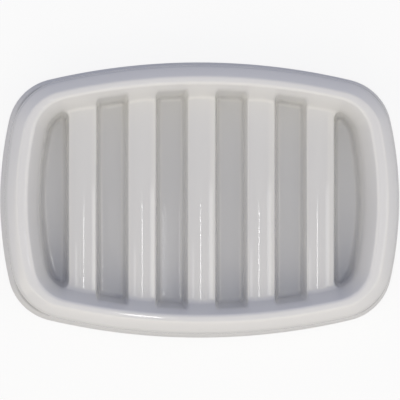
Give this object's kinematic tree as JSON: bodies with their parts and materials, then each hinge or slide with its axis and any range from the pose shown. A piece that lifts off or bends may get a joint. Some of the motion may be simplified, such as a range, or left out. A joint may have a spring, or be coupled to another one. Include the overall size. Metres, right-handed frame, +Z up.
{
  "type": "slow feeder bowl",
  "caption": "Oblong slow feeder bowl for pets: ribbed tray with deep pockets and a domed rim on a flared base shell with rubber feet.",
  "frame": {"origin": "on the floor, under the middle of the bowl", "axes": "+Z up, +X along the length of the bowl, across its ribs, +Y along the ribs"},
  "size_m": [0.2318, 0.1598, 0.038],
  "materials": {
    "tray_plastic": "smooth glossy moulding",
    "base_plastic": "smooth glossy moulding",
    "foot_rubber": "matt rubber"
  },
  "bodies": {
    "root": {"feeding_tray": "tray_plastic", "base_shell": "base_plastic", "foot_front_left": "foot_rubber", "foot_front_right": "foot_rubber", "foot_rear_left": "foot_rubber", "foot_rear_right": "foot_rubber"}
  },
  "joints": []
}
